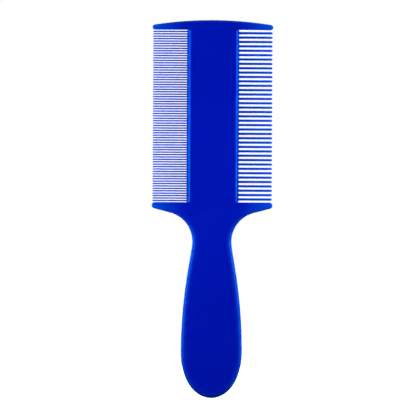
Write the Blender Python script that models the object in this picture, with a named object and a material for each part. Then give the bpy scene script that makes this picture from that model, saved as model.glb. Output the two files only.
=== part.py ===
"""A double-sided pet comb with a handle: fine teeth down one side of its blade, coarse down the other.

The comb is one flat moulding, made here as the six regions it divides into. It stands upright:
+Z runs from the end of the handle to the end bar, -Y is the front and +X is the coarse side.
Heights are counted from the end of the handle, and the origin is the middle of the whole comb.
Every piece is a plate: an outline in the XZ plane, given its thickness along Y.
"""

from math import acos, atan2, cos, hypot, pi, radians, sin

import bmesh
import bpy

# Whole comb, in metres
LENGTH = 0.200
HALF_WIDTH = 0.0320
HALF_THICKNESS = 0.0025
GAP = 0.0003  # left between neighbouring pieces

# Handle: half a superellipse at its end, then a long curve in to the neck
GRIP_HALF_WIDTH = 0.0162
GRIP_WIDEST_HEIGHT = 0.0245
GRIP_END_POWER = 2.1
GRIP_PULL = 0.032  # how far the side keeps straight on from the widest place
NECK_HALF_WIDTH = 0.0104
NECK_HEIGHT = 0.0827
NECK_PULL = 0.006  # how far the side keeps straight on below the neck

# Shoulder: a round sweep out from the neck, and a wing on each side
SWEEP_RADIUS = 0.0158
WING_TIP_RADIUS = 0.0017

# Tooth window, between the shoulder and the end bar
WINDOW_LOW = 0.1036
WINDOW_HIGH = 0.1947
END_TIP_RADIUS = 0.00145

# Rounding of the outer edges, measured inwards from the outline: a superellipse's quarter
GRIP_EDGE = 0.0033
WING_EDGE = 0.0014
ARCH_EDGE = 0.0015
EDGE_POWER = 3.6

# Wings and end bar get thinner from the blade's sides out to their tips
TAPER_START = 0.0125
TIP_HALF_THICKNESS = 0.0009
TAPER_POWER = 1.5
TAPER_SLICES = (0.0125, 0.016, 0.020, 0.024, 0.028)

# Tooth rows. Distances are from the comb's middle line, out towards the tips
FINE_ROW = {
    "side": -1,
    "teeth": 71,
    "rail": 0.0116,
    "root": 0.01355,
    "tip": 0.0317,
    "root_width": 0.00086,
    "tip_width": 0.00082,
    "round_steps": 3,
}
COARSE_ROW = {
    "side": 1,
    "teeth": 39,
    "rail": 0.0124,
    "root": 0.01395,
    "tip": 0.0317,
    "root_width": 0.00142,
    "tip_width": 0.00132,
    "round_steps": 4,
}
BEVEL_WIDTH = 0.0012
BEVEL_FOOT_HALF_THICKNESS = 0.00145
TOOTH_TIP_HALF_THICKNESS = 0.00075

# Fineness of the faceting: steps along each stretch of an outline, and from an edge to a face
EDGE_STEPS = 3
GRIP_END_STEPS = 8
GRIP_SIDE_STEPS = 9
SWEEP_STEPS = 7
TIP_STEPS = 3
ARCH_STEPS = 9
SMOOTH_ANGLE = radians(32)

BLUE = (0.0012, 0.0100, 0.4200)
ROUGHNESS = 0.36


def clear_scene():
    for found in list(bpy.data.objects):
        bpy.data.objects.remove(found, do_unlink=True)


def between(start, end, share):
    return start + (end - start) * share


# An outline is a list of (x, height, edge), anticlockwise as the front is seen. The edge is how
# far in from the outline its rounding reaches, and 0 keeps the edge square.


def arc(centre, radius, angles, edges, steps):
    """Points on a circle from the first angle to the second, both included."""
    points = []
    for step in range(steps + 1):
        share = step / steps
        angle = between(*angles, share)
        x = centre[0] + radius * cos(angle)
        height = centre[1] + radius * sin(angle)
        points.append((x, height, between(*edges, share)))
    return points


def grip_end():
    """The right half of the handle's rounded end, from the middle line to the widest place."""
    points = []
    for step in range(GRIP_END_STEPS):
        angle = step / GRIP_END_STEPS * pi / 2
        x = GRIP_HALF_WIDTH * sin(angle) ** (2 / GRIP_END_POWER)
        height = GRIP_WIDEST_HEIGHT * (1 - cos(angle) ** (2 / GRIP_END_POWER))
        points.append((x, height, GRIP_EDGE))
    return points


def grip_side():
    """The right side of the handle, a Bezier curve from the widest place up to the neck."""
    heights = (
        GRIP_WIDEST_HEIGHT,
        GRIP_WIDEST_HEIGHT + GRIP_PULL,
        NECK_HEIGHT - NECK_PULL,
        NECK_HEIGHT,
    )
    widths = (GRIP_HALF_WIDTH, GRIP_HALF_WIDTH, NECK_HALF_WIDTH, NECK_HALF_WIDTH)
    points = []
    for step in range(GRIP_SIDE_STEPS):
        t = step / GRIP_SIDE_STEPS
        weights = ((1 - t) ** 3, 3 * (1 - t) ** 2 * t, 3 * (1 - t) * t**2, t**3)
        x = sum(w * value for w, value in zip(weights, widths))
        height = sum(w * value for w, value in zip(weights, heights))
        points.append((x, height, GRIP_EDGE))
    return points


def wing():
    """The right sweep out of the neck, and the wing with its round tip.

    The wing's underside is the straight line that touches both the sweep's circle and the tip's.
    """
    sweep = (NECK_HALF_WIDTH + SWEEP_RADIUS, NECK_HEIGHT)
    tip = (HALF_WIDTH - WING_TIP_RADIUS, WINDOW_LOW - WING_TIP_RADIUS)
    across, up = tip[0] - sweep[0], tip[1] - sweep[1]
    lean = acos((SWEEP_RADIUS + WING_TIP_RADIUS) / hypot(across, up))
    touch = atan2(up, across) + lean
    points = arc(sweep, SWEEP_RADIUS, (pi, touch), (GRIP_EDGE, WING_EDGE), SWEEP_STEPS)
    points += arc(tip, WING_TIP_RADIUS, (touch - pi, 0), (WING_EDGE, WING_EDGE), TIP_STEPS)
    points += arc(tip, WING_TIP_RADIUS, (0, pi / 2), (WING_EDGE, 0), TIP_STEPS)[1:]
    return points


def mirrored(half):
    """A right half that starts on the middle line, with its left half added."""
    left = [(-x, height, edge) for x, height, edge in reversed(half) if x > 0]
    return half + left


def body_outline():
    """Handle and shoulder together. The top is square, where the blade and the teeth start."""
    return mirrored(grip_end() + grip_side() + wing())


def end_bar_outline():
    """The arch passes through the comb's far end and touches the circles of both tips."""
    radius = END_TIP_RADIUS
    tip = (HALF_WIDTH - radius, WINDOW_HIGH + radius)
    drop = LENGTH - tip[1]
    arch_radius = (tip[0] ** 2 + drop**2 - radius**2) / (2 * (drop - radius))
    arch = (0, LENGTH - arch_radius)
    touch = atan2(tip[1] - arch[1], tip[0])
    half = arc(tip, radius, (-pi / 2, 0), (0, WING_EDGE), TIP_STEPS)
    half += arc(tip, radius, (0, touch), (WING_EDGE, ARCH_EDGE), TIP_STEPS)[1:]
    half += arc(arch, arch_radius, (touch, pi / 2), (ARCH_EDGE, ARCH_EDGE), ARCH_STEPS)[1:-1]
    left = [(-x, height, edge) for x, height, edge in reversed(half)]
    return half + [(0, LENGTH, ARCH_EDGE)] + left


def gap_width(row):
    """The teeth and one more gap than teeth fill the window."""
    room = WINDOW_HIGH - WINDOW_LOW - row["teeth"] * row["root_width"]
    return room / (row["teeth"] + 1)


def row_outline(row):
    """A rail with its teeth. Each gap has a round root and each tooth a round tip."""
    gap = gap_width(row)
    pitch = gap + row["root_width"]
    steps = row["round_steps"]
    low, high = WINDOW_LOW + GAP, WINDOW_HIGH - GAP
    tip_radius = row["tip_width"] / 2
    first = WINDOW_LOW + gap + row["root_width"] / 2
    points = [(row["rail"], low, 0), (row["root"], low, 0)]
    for tooth in range(row["teeth"]):
        middle = first + tooth * pitch
        tip = (row["tip"] - tip_radius, middle)
        if tooth:
            root = (row["root"] + gap / 2, middle - pitch / 2)
            points += arc(root, gap / 2, (1.5 * pi, 0.5 * pi), (0, 0), steps)
        else:
            points.append((row["root"], middle - row["root_width"] / 2, 0))
        points += arc(tip, tip_radius, (-pi / 2, pi / 2), (0, 0), steps)
    points.append((row["root"], middle + row["root_width"] / 2, 0))
    points += [(row["root"], high, 0), (row["rail"], high, 0)]
    if row["side"] < 0:
        points = [(-x, height, edge) for x, height, edge in reversed(points)]
    return points


def spine_outline():
    low, high = WINDOW_LOW + GAP, WINDOW_HIGH - GAP
    left, right = GAP - FINE_ROW["rail"], COARSE_ROW["rail"] - GAP
    return [(left, low, 0), (right, low, 0), (right, high, 0), (left, high, 0)]


def body_half_thickness(x, height):
    """Full over the handle and the blade's width, then thinner out to the tips."""
    if height < NECK_HEIGHT or abs(x) < TAPER_START:
        return HALF_THICKNESS
    share = (abs(x) - TAPER_START) / (HALF_WIDTH - TAPER_START)
    return between(HALF_THICKNESS, TIP_HALF_THICKNESS, share**TAPER_POWER)


def row_half_thickness(row):
    """A bevel down from the blade's face, then a straight taper to the tips of the teeth."""
    foot = row["rail"] + BEVEL_WIDTH

    def half_thickness(x, height):
        if abs(x) < foot:
            share = (abs(x) - row["rail"]) / BEVEL_WIDTH
            return between(HALF_THICKNESS, BEVEL_FOOT_HALF_THICKNESS, share)
        share = (abs(x) - foot) / (row["tip"] - foot)
        return between(BEVEL_FOOT_HALF_THICKNESS, TOOTH_TIP_HALF_THICKNESS, share)

    return half_thickness


def inward(outline):
    """The unit direction into the plate at each point of an outline."""
    directions = []
    for index, point in enumerate(outline):
        before = outline[index - 1]
        after = outline[(index + 1) % len(outline)]
        across, up = after[0] - before[0], after[1] - before[1]
        length = hypot(across, up)
        directions.append((-up / length, across / length))
    return directions


def plate(outline, edge_steps=0):
    """A closed plate from y = -1 to 1. With edge steps, its edge is rounded."""
    turns = (-1, 1)
    if edge_steps:
        turns = [step / edge_steps for step in range(-edge_steps, edge_steps + 1)]
    directions = inward(outline)
    mesh = bmesh.new()
    rings = []
    for turn in turns:
        angle = turn * pi / 2
        reach = 1 - max(0, cos(angle)) ** (2 / EDGE_POWER)
        ring = []
        for (x, height, edge), (in_x, in_z) in zip(outline, directions):
            shift = edge * reach
            ring.append(mesh.verts.new((x + in_x * shift, sin(angle), height + in_z * shift)))
        rings.append(ring)
    count = len(outline)
    for front, back in zip(rings, rings[1:]):
        for index in range(count):
            after = (index + 1) % count
            mesh.faces.new((front[index], front[after], back[after], back[index]))
    mesh.faces.new(rings[0])
    mesh.faces.new(reversed(rings[-1]))
    return mesh


def everything(mesh):
    return mesh.verts[:] + mesh.edges[:] + mesh.faces[:]


def keep_side(mesh, height, above):
    """Cut a plate straight across at a height, and keep what lies above or below."""
    cut = bmesh.ops.bisect_plane(
        mesh,
        geom=everything(mesh),
        plane_co=(0, 0, height),
        plane_no=(0, 0, 1),
        clear_inner=above,
        clear_outer=not above,
    )
    edges = [item for item in cut["geom_cut"] if isinstance(item, bmesh.types.BMEdge)]
    bmesh.ops.holes_fill(mesh, edges=edges)


def slice_at(mesh, distances):
    """Edges across the plate at these distances from the middle line, where its thickness bends."""
    for x in distances:
        bmesh.ops.bisect_plane(mesh, geom=everything(mesh), plane_co=(x, 0, 0), plane_no=(1, 0, 0))


def blue_plastic(name):
    material = bpy.data.materials.new(name)
    material.use_nodes = True
    shader = material.node_tree.nodes["Principled BSDF"]
    shader.inputs["Base Color"].default_value = (*BLUE, 1)
    shader.inputs["Roughness"].default_value = ROUGHNESS
    shader.inputs["Metallic"].default_value = 0
    material.diffuse_color = (*BLUE, 1)
    return material


def finish(mesh, name, half_thickness, parent):
    """Give a plate its real thickness, and make it an object."""
    for vertex in mesh.verts:
        vertex.co.y *= half_thickness(vertex.co.x, vertex.co.z)
    bmesh.ops.recalc_face_normals(mesh, faces=mesh.faces[:])
    data = bpy.data.meshes.new(name)
    mesh.to_mesh(data)
    mesh.free()
    data.shade_smooth()
    data.set_sharp_from_angle(angle=SMOOTH_ANGLE)
    data.materials.append(blue_plastic(name + "_plastic"))
    piece = bpy.data.objects.new(name, data)
    piece.parent = parent
    bpy.context.collection.objects.link(piece)


def make_handle(comb):
    mesh = plate(body_outline(), EDGE_STEPS)
    keep_side(mesh, NECK_HEIGHT - GAP / 2, above=False)
    finish(mesh, "handle", body_half_thickness, comb)


def make_shoulder(comb):
    mesh = plate(body_outline(), EDGE_STEPS)
    keep_side(mesh, NECK_HEIGHT + GAP / 2, above=True)
    slice_at(mesh, TAPER_SLICES + tuple(-x for x in TAPER_SLICES))
    finish(mesh, "shoulder", body_half_thickness, comb)


def make_end_bar(comb):
    mesh = plate(end_bar_outline(), EDGE_STEPS)
    slice_at(mesh, TAPER_SLICES + tuple(-x for x in TAPER_SLICES))
    finish(mesh, "end_bar", body_half_thickness, comb)


def make_spine(comb):
    finish(plate(spine_outline()), "spine", body_half_thickness, comb)


def make_tooth_row(name, row, comb):
    mesh = plate(row_outline(row))
    slice_at(mesh, (row["side"] * (row["rail"] + BEVEL_WIDTH),))
    finish(mesh, name, row_half_thickness(row), comb)


def main():
    clear_scene()
    comb = bpy.data.objects.new("comb", None)
    comb.location.z = -LENGTH / 2
    bpy.context.collection.objects.link(comb)
    make_handle(comb)
    make_shoulder(comb)
    make_spine(comb)
    make_tooth_row("fine_tooth_row", FINE_ROW, comb)
    make_tooth_row("coarse_tooth_row", COARSE_ROW, comb)
    make_end_bar(comb)
    bpy.context.view_layer.update()


main()
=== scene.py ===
"""Looks for a double-sided pet comb: one blue moulding, whose six pieces meet with no gap.

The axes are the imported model's: +Z runs from the end of the handle to the end bar, -Y is the front
and +X is the coarse side. Every piece is a plate: an outline in the XZ plane with rounded edges.
"""

from math import acos, atan2, ceil, cos, hypot, pi, radians, sin, sqrt

import bmesh
import bpy
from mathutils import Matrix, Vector
from mathutils.geometry import delaunay_2d_cdt


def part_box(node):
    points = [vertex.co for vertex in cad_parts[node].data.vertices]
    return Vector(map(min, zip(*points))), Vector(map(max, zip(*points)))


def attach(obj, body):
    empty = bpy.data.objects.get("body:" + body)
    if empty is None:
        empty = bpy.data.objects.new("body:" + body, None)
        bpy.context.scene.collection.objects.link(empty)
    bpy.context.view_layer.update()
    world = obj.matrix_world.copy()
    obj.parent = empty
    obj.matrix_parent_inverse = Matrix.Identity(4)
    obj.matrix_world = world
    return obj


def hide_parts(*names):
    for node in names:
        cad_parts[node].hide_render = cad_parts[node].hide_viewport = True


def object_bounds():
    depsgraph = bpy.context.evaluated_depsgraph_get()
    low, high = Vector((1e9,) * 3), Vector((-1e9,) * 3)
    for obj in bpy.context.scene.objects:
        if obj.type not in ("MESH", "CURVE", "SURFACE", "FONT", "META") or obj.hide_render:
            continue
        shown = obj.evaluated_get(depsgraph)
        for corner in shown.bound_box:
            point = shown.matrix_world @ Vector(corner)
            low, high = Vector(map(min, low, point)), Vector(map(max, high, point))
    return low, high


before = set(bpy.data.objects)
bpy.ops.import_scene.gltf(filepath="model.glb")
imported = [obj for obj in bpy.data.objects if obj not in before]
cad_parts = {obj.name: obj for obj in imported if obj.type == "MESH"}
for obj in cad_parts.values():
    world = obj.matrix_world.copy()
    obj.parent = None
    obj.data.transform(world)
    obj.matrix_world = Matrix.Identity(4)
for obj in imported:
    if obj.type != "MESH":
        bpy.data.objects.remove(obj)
CAD_LOW, CAD_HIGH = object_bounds()

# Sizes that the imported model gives, in metres
FOOT, TOP = CAD_LOW.z, CAD_HIGH.z
HALF_WIDTH = CAD_HIGH.x
HALF_THICKNESS = CAD_HIGH.y
GRIP_HALF_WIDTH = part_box("handle")[1].x
NECK = (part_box("handle")[1].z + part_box("shoulder")[0].z) / 2
WINDOW_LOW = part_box("shoulder")[1].z
WINDOW_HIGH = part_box("end_bar")[0].z

# Handle and shoulder, by the CAD's own rules
GRIP_WIDEST = FOOT + 0.0245
GRIP_PULL = 0.032
GRIP_END_POWER = 2.1
NECK_HALF_WIDTH = 0.0104
NECK_PULL = 0.006
SWEEP_RADIUS = 0.0158
WING_TIP_RADIUS = 0.0017
END_TIP_RADIUS = 0.00145

# Wings and end bar get thinner out to their tips
TAPER_START = 0.0125
TIP_HALF_THICKNESS = 0.0009
TAPER_POWER = 1.5

# Tooth rows. Distances are from the comb's middle line
FINE_ROW = {
    "node": "fine_tooth_row",
    "side": -1,
    "teeth": 71,
    "root": 0.01355,
    "root_width": 0.00086,
    "tip_width": 0.00082,
    "rounding": 0.00022,
    "bevel": 0.0012,
    # narrowness is a painted glow: a lighter colour standing in for light showing through the thin
    # teeth
    "narrow_painted_glow": 0.25,
}
COARSE_ROW = {
    "node": "coarse_tooth_row",
    "side": 1,
    "teeth": 39,
    "root": 0.01395,
    "root_width": 0.00142,
    "tip_width": 0.00132,
    "rounding": 0.00034,
    "bevel": 0.0008,
    # narrowness is a painted glow: a lighter colour standing in for light showing through the thin
    # teeth
    "narrow_painted_glow": 0.12,
}
BEVEL_POWER = 1.8  # the bevel gets steeper towards its foot
BEVEL_FOOT_HALF_THICKNESS = 0.00145
TOOTH_TIP_HALF_THICKNESS = 0.00075
TOOTH_TAPER_POWER = 1.6
TOOTH_NOSE = 0.0009  # length of the blunt end of a tooth, as seen from its edge
TOOTH_NOSE_SHARE = 0.45  # of the thickness is left at the very end
PAINTED_GLOW_RAMP = 0.003  # length over which a tooth's painted glow, a lighter colour standing in for light showing through it, fades in
# how strongly the bevel's edge gets the rims' painted highlight and their polish
BEVEL_PAINTED_HIGHLIGHT_AND_POLISH = 0.7

# An edge is how far in from the outline its rounding reaches, and how much of the half thickness
# it takes. A flush edge touches a neighbouring piece.
GRIP_EDGE = (0.0033, 1.0)
WING_EDGE = (0.0014, 1.0)
ARCH_EDGE = (0.0015, 1.0)
GUARD_EDGE = (0.0003, 0.12)
FLUSH_EDGE = (0.0, 0.12)

# Fineness of the meshes
OUTLINE_STEP = 0.0007
FEWEST_ARC_STEPS = 4
TIP_STEPS = 8
BODY_EDGE = (12, 0.00025, 3.6)  # steps, flat strip inside the edge, and the power of its curve
SPINE_EDGE = (1, 0.00025, 2)
TOOTH_EDGE = (3, 0.00003, 2)
TOOTH_ROUND_STEPS = 6
TOOTH_SIDE_STEPS = 7
NOSE_STEPS = 2
BEVEL_LINES = 9
LINE_STEP = 0.0012
SMOOTH_ANGLE = radians(35)
MERGE = 1e-7


def between(start, end, share):
    return start + (end - start) * share


def edge_between(edges, share):
    return tuple(between(start, end, share) for start, end in zip(*edges))


# ---- outlines: lists of (x, z, edge), anticlockwise as the front is seen ----


def arc(centre, radius, angles, edges, steps=None):
    """Points on a circle from the first angle and edge to the second, both included."""
    steps = steps or max(FEWEST_ARC_STEPS, ceil(abs(angles[1] - angles[0]) * radius / OUTLINE_STEP))
    points = []
    for step in range(steps + 1):
        angle = between(*angles, step / steps)
        place = (centre[0] + radius * cos(angle), centre[1] + radius * sin(angle))
        points.append((*place, edge_between(edges, step / steps)))
    return points


def line(start, end, edges, steps=None):
    """Points on a straight stretch, its start and end left out."""
    steps = steps or ceil(hypot(end[0] - start[0], end[1] - start[1]) / OUTLINE_STEP)
    points = []
    for step in range(1, steps):
        share = step / steps
        place = (between(start[0], end[0], share), between(start[1], end[1], share))
        points.append((*place, edge_between(edges, share)))
    return points


def mirrored(points):
    return [(-x, z, edge) for x, z, edge in reversed(points)]


def grip_half():
    """The right half of the handle: a quarter superellipse, then a Bezier curve to the neck."""
    points = []
    end_height = GRIP_WIDEST - FOOT
    end_steps = ceil(pi / 2 * end_height / OUTLINE_STEP)
    for step in range(end_steps):
        angle = step / end_steps * pi / 2
        x = GRIP_HALF_WIDTH * sin(angle) ** (2 / GRIP_END_POWER)
        points.append((x, GRIP_WIDEST - end_height * cos(angle) ** (2 / GRIP_END_POWER), GRIP_EDGE))
    heights = (GRIP_WIDEST, GRIP_WIDEST + GRIP_PULL, NECK - NECK_PULL, NECK)
    widths = (GRIP_HALF_WIDTH, GRIP_HALF_WIDTH, NECK_HALF_WIDTH, NECK_HALF_WIDTH)
    side_steps = ceil((NECK - GRIP_WIDEST) / OUTLINE_STEP)
    for step in range(side_steps + 1):
        t = step / side_steps
        weights = ((1 - t) ** 3, 3 * (1 - t) ** 2 * t, 3 * (1 - t) * t**2, t**3)
        x = sum(weight * value for weight, value in zip(weights, widths))
        z = sum(weight * value for weight, value in zip(weights, heights))
        points.append((x, z, GRIP_EDGE))
    return points


def rail(row):
    """How far out a row starts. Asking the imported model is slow, so loops take this once."""
    return min(abs(corner.x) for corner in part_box(row["node"]))


def tip(row):
    """How far out a row's teeth reach, as slow to ask for as the rail."""
    return max(abs(corner.x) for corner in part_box(row["node"]))


def guard(start_x, row, z):
    """A straight edge that faces a row's first or last gap, from the tip in to the rail."""
    foot = rail(row) + row["bevel"]
    points = line((start_x, z), (foot, z), (GUARD_EDGE, GUARD_EDGE))
    points.append((foot, z, GUARD_EDGE))
    points += line((foot, z), (rail(row), z), (GUARD_EDGE, FLUSH_EDGE))
    points.append((rail(row), z, FLUSH_EDGE))
    return points


def wing(row):
    """From the neck out along the sweep, round the wing's tip and back in to the row's rail."""
    sweep = (NECK_HALF_WIDTH + SWEEP_RADIUS, NECK)
    end = (HALF_WIDTH - WING_TIP_RADIUS, WINDOW_LOW - WING_TIP_RADIUS)
    across, up = end[0] - sweep[0], end[1] - sweep[1]
    lean = acos((SWEEP_RADIUS + WING_TIP_RADIUS) / hypot(across, up))
    touch = atan2(up, across) + lean
    points = arc(sweep, SWEEP_RADIUS, (pi, touch), (GRIP_EDGE, WING_EDGE))
    round_tip = arc(end, WING_TIP_RADIUS, (touch - pi, 0), (WING_EDGE, WING_EDGE), TIP_STEPS)
    round_tip += arc(end, WING_TIP_RADIUS, (0, pi / 2), (WING_EDGE, GUARD_EDGE), TIP_STEPS)[1:]
    points += line(points[-1][:2], round_tip[0][:2], (WING_EDGE, WING_EDGE))
    return points + round_tip + guard(end[0], row, WINDOW_LOW)


def bar_half(row):
    """From the row's rail out along the underside, round the tip and up the arch to its middle."""
    radius = END_TIP_RADIUS
    end = (HALF_WIDTH - radius, WINDOW_HIGH + radius)
    drop = TOP - end[1]
    arch_radius = (end[0] ** 2 + drop**2 - radius**2) / (2 * (drop - radius))
    arch = (0, TOP - arch_radius)
    touch = atan2(end[1] - arch[1], end[0])
    points = list(reversed(guard(end[0], row, WINDOW_HIGH)))
    points += arc(end, radius, (-pi / 2, 0), (GUARD_EDGE, WING_EDGE), TIP_STEPS)
    points += arc(end, radius, (0, touch), (WING_EDGE, ARCH_EDGE), TIP_STEPS)[1:]
    return points + arc(arch, arch_radius, (touch, pi / 2), (ARCH_EDGE, ARCH_EDGE))[1:]


def gap_width(row):
    room = WINDOW_HIGH - WINDOW_LOW - row["teeth"] * row["root_width"]
    return room / (row["teeth"] + 1)


def tooth(row, middle):
    """One tooth from its lower root to its upper root, both left out."""
    radius = row["tip_width"] / 2
    edge = (row["rounding"], 1.0)
    reach = tip(row)
    nose = reach - TOOTH_NOSE
    start = (row["root"] + gap_width(row) / 2, row["root_width"] / 2)
    end = (reach - radius, radius)
    bend = (nose, between(start[1], radius, (nose - start[0]) / (end[0] - start[0])))
    side = line(start, bend, (edge, edge), TOOTH_SIDE_STEPS) + [(*bend, edge)]
    side += line(bend, end, (edge, edge), NOSE_STEPS)
    lower = [(x, middle - half_width, edge) for x, half_width, edge in side]
    upper = [(x, middle + half_width, edge) for x, half_width, edge in reversed(side)]
    half_turn = (-pi / 2, pi / 2)
    return lower + arc((end[0], middle), radius, half_turn, (edge, edge), TOOTH_ROUND_STEPS) + upper


def row_outline(row):
    """A rail and its teeth. The gaps have round roots, and the rail's ends touch the guards."""
    gap = gap_width(row)
    pitch = gap + row["root_width"]
    edge = (row["rounding"], 1.0)
    points = [(rail(row), WINDOW_LOW, FLUSH_EDGE), (row["root"], WINDOW_LOW, FLUSH_EDGE)]
    for index in range(row["teeth"] + 1):
        root = (row["root"] + gap / 2, WINDOW_LOW + gap / 2 + index * pitch)
        start = pi if index == 0 else 1.5 * pi
        end = pi if index == row["teeth"] else 0.5 * pi
        if start == end:
            continue
        steps = round(TOOTH_ROUND_STEPS * (start - end) / pi)
        points += arc(root, gap / 2, (start, end), (edge, edge), steps)
        if index < row["teeth"]:
            points += tooth(row, root[1] + pitch / 2)
    points += [(row["root"], WINDOW_HIGH, FLUSH_EDGE), (rail(row), WINDOW_HIGH, FLUSH_EDGE)]
    return points if row["side"] > 0 else mirrored(points)


def spine_outline():
    left, right = -rail(FINE_ROW), rail(COARSE_ROW)
    corners = ((left, WINDOW_LOW), (right, WINDOW_LOW), (right, WINDOW_HIGH), (left, WINDOW_HIGH))
    return [(*corner, FLUSH_EDGE) for corner in corners]


# ---- thickness ----


def blade_half_thickness(x, z):
    """Full over the handle and the blade's width, then thinner out to the tips."""
    if z < NECK or abs(x) < TAPER_START:
        return HALF_THICKNESS
    share = (abs(x) - TAPER_START) / (HALF_WIDTH - TAPER_START)
    return between(HALF_THICKNESS, TIP_HALF_THICKNESS, share**TAPER_POWER)


def row_half_thickness(row):
    """A soft step down from the blade's face, then a taper along the teeth to their blunt ends."""
    top, end = rail(row), tip(row)
    foot = top + row["bevel"]

    def half_thickness(x, z):
        if abs(x) < foot:
            share = max(0, abs(x) - top) / row["bevel"]
            return between(HALF_THICKNESS, BEVEL_FOOT_HALF_THICKNESS, share**BEVEL_POWER)
        share = ((abs(x) - foot) / (end - foot)) ** TOOTH_TAPER_POWER
        half = between(BEVEL_FOOT_HALF_THICKNESS, TOOTH_TIP_HALF_THICKNESS, share)
        into_nose = min(1, max(0, abs(x) - end + TOOTH_NOSE) / TOOTH_NOSE)
        return half * sqrt(1 - (1 - TOOTH_NOSE_SHARE**2) * into_nose**2)

    return half_thickness


def no_painted_light(x):
    """How much painted glow for being narrow, and how much painted highlight and polish, a plate
    gets at a place, from 0 to 1.
    """
    return 0, 0


def row_looks(row):
    """A painted glow in the narrow teeth, and a painted highlight with polish on the bevel's edge.
    """
    top = rail(row)
    foot = top + row["bevel"]

    def looks(x):
        into_teeth = min(1, max(0, abs(x) - row["root"]) / PAINTED_GLOW_RAMP)
        return row["narrow_painted_glow"] * into_teeth, BEVEL_PAINTED_HIGHLIGHT_AND_POLISH if top < abs(x) <= foot else 0

    return looks


# ---- plates ----


def inward(outline, is_open):
    """The unit direction into the plate at each point. An open outline starts and ends upright."""
    directions = []
    for index, point in enumerate(outline):
        before = outline[index - 1]
        after = outline[(index + 1) % len(outline)]
        across, up = after[0] - before[0], after[1] - before[1]
        if is_open and index in (0, len(outline) - 1):
            across, up = 0, 1 if point[0] > 0 else -1
        length = hypot(across, up)
        directions.append(Vector((-up / length, across / length)))
    return directions


def edge_share(angle, power):
    """How near an edge is to its outline: 1 at the rim, 0 at the face. A power of 2 is round."""
    return max(0, cos(angle)) ** (2 / power)


def ring_turns(steps):
    """Angles from the back face round the edge to the front, and whether each is a support ring."""
    quarter = [step / steps * pi / 2 for step in range(steps + 1)]
    front = [(-1, angle, False) for angle in quarter] + [(-1, pi / 2, True)]
    back = [(1, angle, support) for _, angle, support in reversed(front)]
    return back + front


def crossings(ring, x):
    """The heights at which an upright line crosses a closed ring of points, lowest first."""
    found = []
    for start, end in zip(ring, ring[1:] + ring[:1]):
        if (start[0] < x) != (end[0] < x):
            found.append(between(start[1], end[1], (x - start[0]) / (end[0] - start[0])))
    return sorted(found)


def upright_lines(ring, places):
    """Rows of points inside the ring, one for each place across, where the thickness bends."""
    lines = []
    for x in places:
        heights = crossings(ring, x)
        for low, high in zip(heights[::2], heights[1::2]):
            steps = ceil((high - low) / LINE_STEP)
            lines.append([(x, between(low, high, step / steps)) for step in range(1, steps)])
    return lines


def fill(mesh, ring, y, places):
    """One face of a plate, inside its last ring, as triangles that follow the upright lines."""
    flat = [(vertex.co.x, vertex.co.z) for vertex in ring]
    count = len(flat)
    edges = [(index, (index + 1) % count) for index in range(count)]
    points = list(flat)
    for row in upright_lines(flat, places):
        edges += [(len(points) + step, len(points) + step + 1) for step in range(len(row) - 1)]
        points += row
    found = delaunay_2d_cdt([Vector(point) for point in points], edges, [], 1, MERGE)
    places_out, faces, origins = found[0], found[2], found[3]
    vertices = []
    for place, origin in zip(places_out, origins):
        on_ring = [index for index in origin if index < count]
        new = None if on_ring else mesh.verts.new((place.x, y, place.y))
        vertices.append(ring[on_ring[0]] if on_ring else new)
    for face in faces:
        mesh.faces.new([vertices[index] for index in face])


def plate(name, outline, half_thickness, fineness, places=(), is_open=False, looks=no_painted_light):
    """A closed plate with rounded edges, as a smooth object."""
    steps, support, power = fineness
    mesh = bmesh.new()
    rim = mesh.verts.layers.float.new("rim")
    painted_glow_share = mesh.verts.layers.float.new("painted_glow_share")
    directions = inward(outline, is_open)
    rings = []
    for side, angle, is_support in ring_turns(steps):
        ring = []
        for (x, z, (reach, depth)), direction in zip(outline, directions):
            shift = direction * (reach * (1 - edge_share(angle, power)) + support * is_support)
            y = side * (1 - depth + depth * sin(angle))
            vertex = mesh.verts.new((x + shift.x, y, z + shift.y))
            vertex[rim] = cos(angle) if reach else 0
            ring.append(vertex)
        rings.append(ring)
    count = len(outline)
    for back, front in zip(rings, rings[1:]):
        for index in range(count - is_open):
            after = (index + 1) % count
            mesh.faces.new((back[index], back[after], front[after], front[index]))
    if is_open:
        mesh.faces.new([ring[0] for ring in rings] + [ring[-1] for ring in reversed(rings)])
    fill(mesh, rings[0], 1, places)
    fill(mesh, rings[-1], -1, places)
    for vertex in mesh.verts:
        half = half_thickness(vertex.co.x, vertex.co.z)
        vertex.co.y *= half
        # Painted glow: colour lighter where the plate is thin or the teeth narrow, standing in for
        # light through the plastic
        narrow_painted_glow, painted_highlight_and_polish = looks(vertex.co.x)
        vertex[painted_glow_share] = 1 - half / HALF_THICKNESS + narrow_painted_glow
        # The bevel joins the rim mask, which paints a highlight into the colour and lowers the
        # roughness
        vertex[rim] = max(vertex[rim], painted_highlight_and_polish)
    bmesh.ops.remove_doubles(mesh, verts=mesh.verts, dist=MERGE)
    bmesh.ops.recalc_face_normals(mesh, faces=mesh.faces)
    data = bpy.data.meshes.new(name)
    mesh.to_mesh(data)
    mesh.free()
    data.shade_smooth()
    data.set_sharp_from_angle(angle=SMOOTH_ANGLE)
    piece = bpy.data.objects.new(name, data)
    bpy.context.collection.objects.link(piece)
    return piece


def taper_places():
    """Places across the wings and the end bar at which their thickness is followed."""
    steps = ceil((HALF_WIDTH - TAPER_START) / LINE_STEP)
    half = [between(TAPER_START, HALF_WIDTH, step / steps) for step in range(steps)]
    return half + [-x for x in half]


def bevel_places(row):
    shares = [step / BEVEL_LINES for step in range(1, BEVEL_LINES + 1)]
    return [row["side"] * (rail(row) + row["bevel"] * share) for share in shares]


def make_handle():
    half = grip_half()
    outline = mirrored(half[1:]) + half
    return plate("handle_moulding", outline, blade_half_thickness, BODY_EDGE, is_open=True)


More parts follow.
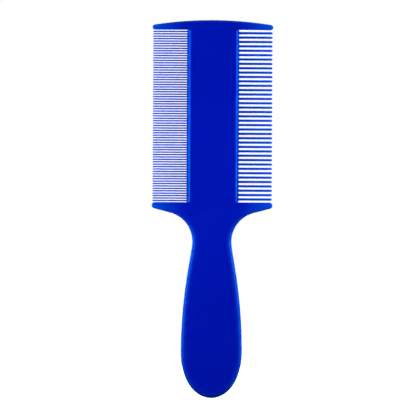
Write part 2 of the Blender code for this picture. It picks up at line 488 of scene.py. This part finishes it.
def make_shoulder():
    outline = wing(COARSE_ROW) + mirrored(wing(FINE_ROW))
    places = taper_places()
    return plate("shoulder_moulding", outline, blade_half_thickness, BODY_EDGE, places, True)


def make_end_bar():
    outline = bar_half(COARSE_ROW) + mirrored(bar_half(FINE_ROW)[:-1])
    places = taper_places()
    return plate("end_bar_moulding", outline, blade_half_thickness, BODY_EDGE, places)


def make_spine():
    return plate("spine_moulding", spine_outline(), blade_half_thickness, SPINE_EDGE)


def make_row(row):
    outline = row_outline(row)
    thickness = row_half_thickness(row)
    name = row["node"] + "_moulding"
    places = bevel_places(row)
    return plate(name, outline, thickness, TOOTH_EDGE, places, looks=row_looks(row))


# ---- material ----

BLUE_LOW = (0.0001, 0.0040, 0.3850)
BLUE_HIGH = (0.0003, 0.0065, 0.4450)
# painted glow: a lighter blue standing in for light showing through thin places and narrow teeth
BLUE_PAINTED_GLOW = (0.0003, 0.0750, 0.7000)
# painted highlight: a lighter, greener blue on the rounded rims and bevels, standing in for the
# lamps' highlights
BLUE_PAINTED_HIGHLIGHT = (0.0010, 0.1300, 0.6200)
IOR = 1.46
SPECULAR_LEVEL = 0.15
GLOSS_TINT = (0, 0.9, 1, 1)  # no red in the reflections, so that bright edges stay blue

# Noises: scale per metre, and detail
PATCHES = (22, 2)
MOTTLE = (420, 3)
GRAIN = (1900, 2)
WAVES = (70, 1)
SCRATCHES = (1, 1)  # on a stretched and leaning copy of the coordinates
SCRATCH_STRETCH = (2600, 2600, 60)
SCRATCH_LEAN = radians(24)

# Ranges of a noise, each with what it is turned into
SCRATCH_RANGE = (0.68, 0.74)
CLOUD_RANGE = (0.5, 1.1)
# range of the mottle, and how strong the painted rim highlight is across it
PAINTED_HIGHLIGHT_RANGE, PAINTED_HIGHLIGHT_SHARE = (0.4, 0.65), (0.25, 0.6)
MATT_RANGE, ROUGHNESS = (0.35, 0.65), (0.31, 0.43)
MOTTLE_IN_CLOUD = 0.6
MOTTLE_IN_MATT = 0.5
WAVES_IN_MATT = 0.5
RIM_POLISH = 0.06
SCRATCH_ROUGHNESS = 0.12

# Bumps: distance in metres, and strength
WAVE_BUMP = (0.0004, 0.25)
GRAIN_BUMP = (0.00006, 0.25)
SCRATCH_BUMP = (-0.00002, 0.3)


def noise(tree, vector, scale, detail):
    node = tree.nodes.new("ShaderNodeTexNoise")
    node.inputs["Scale"].default_value = scale
    node.inputs["Detail"].default_value = detail
    tree.links.new(vector, node.inputs["Vector"])
    return node.outputs["Fac"]


def remap(tree, value, source, target):
    """The value's share of the source range, clamped, as a place in the target range."""
    node = tree.nodes.new("ShaderNodeMapRange")
    ranges = dict(zip(("From Min", "From Max", "To Min", "To Max"), (*source, *target)))
    for name, number in ranges.items():
        node.inputs[name].default_value = number
    tree.links.new(value, node.inputs["Value"])
    return node.outputs["Result"]


def combine(tree, operation, first, second):
    node = tree.nodes.new("ShaderNodeMath")
    node.operation = operation
    for socket, value in zip(node.inputs, (first, second)):
        if isinstance(value, (int, float)):
            socket.default_value = value
        else:
            tree.links.new(value, socket)
    return node.outputs["Value"]


def blend_colours(tree, share, low, high):
    node = tree.nodes.new("ShaderNodeMix")
    node.data_type = "RGBA"
    tree.links.new(share, node.inputs["Factor"])
    for name, colour in (("A", low), ("B", high)):
        socket = next(item for item in node.inputs if item.name == name and item.type == "RGBA")
        if isinstance(colour, tuple):
            socket.default_value = (*colour, 1)
        else:
            tree.links.new(colour, socket)
    return next(item for item in node.outputs if item.type == "RGBA")


def bump(tree, height, distance, strength, below=None):
    node = tree.nodes.new("ShaderNodeBump")
    node.inputs["Distance"].default_value = distance
    node.inputs["Strength"].default_value = strength
    tree.links.new(height, node.inputs["Height"])
    if below:
        tree.links.new(below, node.inputs["Normal"])
    return node.outputs["Normal"]


def attribute(tree, name):
    node = tree.nodes.new("ShaderNodeAttribute")
    node.attribute_name = name
    return node.outputs["Fac"]


def blue_plastic():
    """Glossy moulded plastic: cloudy pigment, grain, faint scratches, polished rims, a painted
    highlight on the rims and bevels and a painted glow on thin places.
    """
    material = bpy.data.materials.new("moulded_blue")
    material.use_nodes = True
    tree = material.node_tree
    shader = tree.nodes["Principled BSDF"]
    shader.inputs["IOR"].default_value = IOR
    shader.inputs["Specular IOR Level"].default_value = SPECULAR_LEVEL
    shader.inputs["Specular Tint"].default_value = GLOSS_TINT
    place = tree.nodes.new("ShaderNodeTexCoord").outputs["Object"]
    stretched = tree.nodes.new("ShaderNodeMapping")
    stretched.inputs["Scale"].default_value = SCRATCH_STRETCH
    stretched.inputs["Rotation"].default_value = (0, SCRATCH_LEAN, 0)
    tree.links.new(place, stretched.inputs["Vector"])
    rim = attribute(tree, "rim")
    painted_glow_share = attribute(tree, "painted_glow_share")
    patches = noise(tree, place, *PATCHES)
    mottle = noise(tree, place, *MOTTLE)
    grain = noise(tree, place, *GRAIN)
    waves = noise(tree, place, *WAVES)
    streaks = noise(tree, stretched.outputs["Vector"], *SCRATCHES)
    scratches = remap(tree, streaks, SCRATCH_RANGE, (0, 1))

    cloud = combine(tree, "ADD", patches, combine(tree, "MULTIPLY", mottle, MOTTLE_IN_CLOUD))
    blues = blend_colours(tree, remap(tree, cloud, CLOUD_RANGE, (0, 1)), BLUE_LOW, BLUE_HIGH)
    # Painted glow: thin places and narrow teeth get a lighter blue, standing in for light showing
    # through them
    blues = blend_colours(tree, painted_glow_share, blues, BLUE_PAINTED_GLOW)
    # Painted highlight: rims and bevels get a lighter, greener blue, standing in for the lamps'
    # highlights on them
    painted_highlight = combine(tree, "MULTIPLY", rim, remap(tree, mottle, PAINTED_HIGHLIGHT_RANGE, PAINTED_HIGHLIGHT_SHARE))
    tree.links.new(blend_colours(tree, painted_highlight, blues, BLUE_PAINTED_HIGHLIGHT), shader.inputs["Base Color"])

    mottle_part = combine(tree, "MULTIPLY", mottle, MOTTLE_IN_MATT)
    waves_part = combine(tree, "MULTIPLY", waves, WAVES_IN_MATT)
    matt = remap(tree, combine(tree, "ADD", mottle_part, waves_part), MATT_RANGE, ROUGHNESS)
    polished = combine(tree, "MULTIPLY", rim, -RIM_POLISH)
    scratched = combine(tree, "MULTIPLY", scratches, SCRATCH_ROUGHNESS)
    roughness = combine(tree, "ADD", combine(tree, "ADD", matt, polished), scratched)
    tree.links.new(roughness, shader.inputs["Roughness"])

    normal = bump(tree, waves, *WAVE_BUMP)
    normal = bump(tree, grain, *GRAIN_BUMP, normal)
    normal = bump(tree, scratches, *SCRATCH_BUMP, normal)
    tree.links.new(normal, shader.inputs["Normal"])
    return material


# ---- studio ----

VIEW_WIDTH = 0.2201  # of the picture, at the comb
CAMERA_DISTANCE = 2.5
CAMERA_PLACE = (-0.00213, -CAMERA_DISTANCE, 0.00056)
CAMERA_ROLL = radians(-0.3)
SENSOR_WIDTH = 36
CLIP_END = 50

WHITE = (1, 1, 1, 1)
WORLD_GREY = (0.09, 0.09, 0.09, 1)  # what lights the comb: the camera sees white
FLOOR_SIZE = 8
FLOOR_COLOUR = (0.8, 0.8, 0.8, 1)
FLOOR_ROUGHNESS = 0.9

# Softboxes: name, place, what it faces, width and height, power in watts, shows in reflections
SOFTBOXES = (
    ("softbox_left", (-0.24, 0, 0.1), (0, 0, 0.1), (0.12, 0.12), 1.2, False),
    ("softbox_right", (0.24, 0, 0.12), (0, 0, 0.12), (0.12, 0.12), 1.4, False),
    ("softbox_left_front", (-0.24, -0.14, -0.015), (0, -0.14, -0.015), (0.14, 0.14), 0.75, True),
    ("softbox_right_front", (0.24, -0.14, 0.01), (0, -0.14, 0.01), (0.14, 0.12), 0.75, True),
    ("softbox_top", (0, -0.1, 0.5), (0, 0, 0.1), (0.3, 0.3), 0.5, True),
    ("softbox_behind", (0, 0.5, 0.02), (0, 0, 0.02), (0.4, 0.4), 2.2, True),
)


def make_camera():
    data = bpy.data.cameras.new("camera")
    data.sensor_width = SENSOR_WIDTH
    data.lens = SENSOR_WIDTH * CAMERA_DISTANCE / VIEW_WIDTH
    data.clip_end = CLIP_END
    camera = bpy.data.objects.new("camera", data)
    camera.location = CAMERA_PLACE
    camera.rotation_euler = (pi / 2, CAMERA_ROLL, 0)
    bpy.context.collection.objects.link(camera)
    bpy.context.scene.camera = camera


def make_floor():
    """A floor that is white to the camera and takes no part in lighting the comb."""
    bpy.ops.mesh.primitive_plane_add(size=FLOOR_SIZE, location=(0, 0, FOOT))
    floor = bpy.context.object
    floor.name = "floor"
    material = bpy.data.materials.new("floor_white")
    material.use_nodes = True
    shader = material.node_tree.nodes["Principled BSDF"]
    shader.inputs["Base Color"].default_value = FLOOR_COLOUR
    shader.inputs["Roughness"].default_value = FLOOR_ROUGHNESS
    shader.inputs["Emission Color"].default_value = WHITE
    shader.inputs["Emission Strength"].default_value = 1
    floor.data.materials.append(material)
    floor.visible_diffuse = False
    floor.visible_glossy = False
    floor.visible_shadow = False


def make_world():
    """White where the camera looks at it, and dim as a light."""
    world = bpy.data.worlds.new("studio")
    world.use_nodes = True
    tree = world.node_tree
    background = tree.nodes["Background"]
    output = tree.nodes["World Output"]
    white = tree.nodes.new("ShaderNodeBackground")
    white.inputs["Color"].default_value = WHITE
    background.inputs["Color"].default_value = WORLD_GREY
    path = tree.nodes.new("ShaderNodeLightPath")
    mix = tree.nodes.new("ShaderNodeMixShader")
    tree.links.new(path.outputs["Is Camera Ray"], mix.inputs[0])
    tree.links.new(background.outputs[0], mix.inputs[1])
    tree.links.new(white.outputs[0], mix.inputs[2])
    tree.links.new(mix.outputs[0], output.inputs["Surface"])
    bpy.context.scene.world = world


def make_softbox(name, place, target, size, power, glossy):
    data = bpy.data.lights.new(name, "AREA")
    data.shape = "RECTANGLE"
    data.size, data.size_y = size
    data.energy = power
    lamp = bpy.data.objects.new(name, data)
    lamp.location = place
    lamp.rotation_euler = (Vector(target) - Vector(place)).to_track_quat("-Z", "Y").to_euler()
    lamp.visible_camera = False
    lamp.visible_glossy = glossy
    bpy.context.collection.objects.link(lamp)


make_camera()
make_world()
make_floor()
for softbox in SOFTBOXES:
    make_softbox(*softbox)
plastic = blue_plastic()
pieces = {
    "handle": make_handle(),
    "shoulder": make_shoulder(),
    "spine": make_spine(),
    "fine_tooth_row": make_row(FINE_ROW),
    "coarse_tooth_row": make_row(COARSE_ROW),
    "end_bar": make_end_bar(),
}
for node, piece in pieces.items():
    piece.data.materials.append(plastic)
    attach(piece, "root")
    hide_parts(node)
bpy.context.scene.view_settings.view_transform = "Standard"
